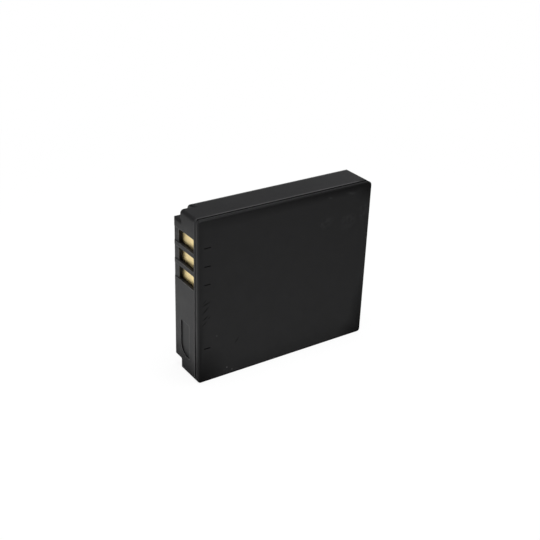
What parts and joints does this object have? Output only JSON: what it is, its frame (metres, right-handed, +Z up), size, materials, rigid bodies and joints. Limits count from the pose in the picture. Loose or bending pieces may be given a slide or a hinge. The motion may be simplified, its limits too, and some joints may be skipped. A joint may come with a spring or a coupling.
{
  "type": "camera battery pack",
  "caption": "Flat rectangular camera battery: black moulded case and cover, recessed gold contacts and keying notches at one end, sealed cell and protection board inside.",
  "frame": {"origin": "on the standing surface, under the middle of the pack's length and thickness", "axes": "+X along the length, away from the contact end; +Y through the thickness, from the cover to the case's back; +Z up the pack's height as it stands"},
  "size_m": [0.0416, 0.0094, 0.036],
  "materials": {
    "case_plastic": "fine satin moulded texture",
    "cover_plastic": "fine satin moulded texture",
    "contact_gold": "gold plated, satin",
    "board_laminate": "solder mask",
    "can_aluminium": "drawn, satin",
    "gasket_plastic": "smooth",
    "terminal_steel": "plated",
    "sheet_paper": "fibre paper",
    "strip_nickel": "rolled nickel",
    "cutoff_plastic": "moulded",
    "pad_tape": "adhesive tape",
    "cushion_foam": "closed-cell foam",
    "chip_plastic": "moulded epoxy",
    "capacitor_ceramic": "sintered",
    "resistor_ceramic": "glazed film",
    "thermistor_ceramic": "sintered"
  },
  "bodies": {
    "root": {"rear_case": "case_plastic", "front_cover": "cover_plastic", "contact_positive": "contact_gold", "contact_sense": "contact_gold", "contact_negative": "contact_gold", "protection_board": "board_laminate", "cell_can": "can_aluminium", "terminal_gasket": "gasket_plastic", "terminal_rivet": "terminal_steel", "header_sheet": "sheet_paper", "positive_strip": "strip_nickel", "rivet_strip": "strip_nickel", "negative_strip": "strip_nickel", "thermal_cutoff": "cutoff_plastic", "front_pad": "pad_tape", "back_pad": "pad_tape", "end_cushion": "cushion_foam", "power_switch": "chip_plastic", "protection_chip": "chip_plastic", "filter_capacitor": "capacitor_ceramic", "filter_resistor": "resistor_ceramic", "sense_resistor": "resistor_ceramic", "thermistor": "thermistor_ceramic"}
  },
  "joints": []
}
